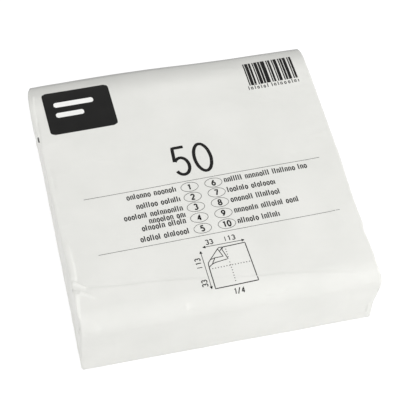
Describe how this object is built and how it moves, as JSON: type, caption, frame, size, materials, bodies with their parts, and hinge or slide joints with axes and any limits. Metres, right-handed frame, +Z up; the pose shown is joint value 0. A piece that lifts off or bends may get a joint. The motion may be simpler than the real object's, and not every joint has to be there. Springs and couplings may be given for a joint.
{
  "type": "paper napkin pack",
  "caption": "Sealed film pack of square paper napkins, with envelope-folded welded ends, a long seam on the base and a soft crease across the top",
  "frame": {"origin": "centre of the base, on the surface the pack rests on", "axes": "+Z up, +Y to the back of the pack, +X to its right end; the film tube runs along X and its folded ends face -X and +X"},
  "size_m": [0.168, 0.166, 0.0447],
  "materials": {
    "film": "clear soft film over white tissue, satin, with dark print"
  },
  "bodies": {
    "root": {"napkin_pack": "film"}
  },
  "joints": []
}
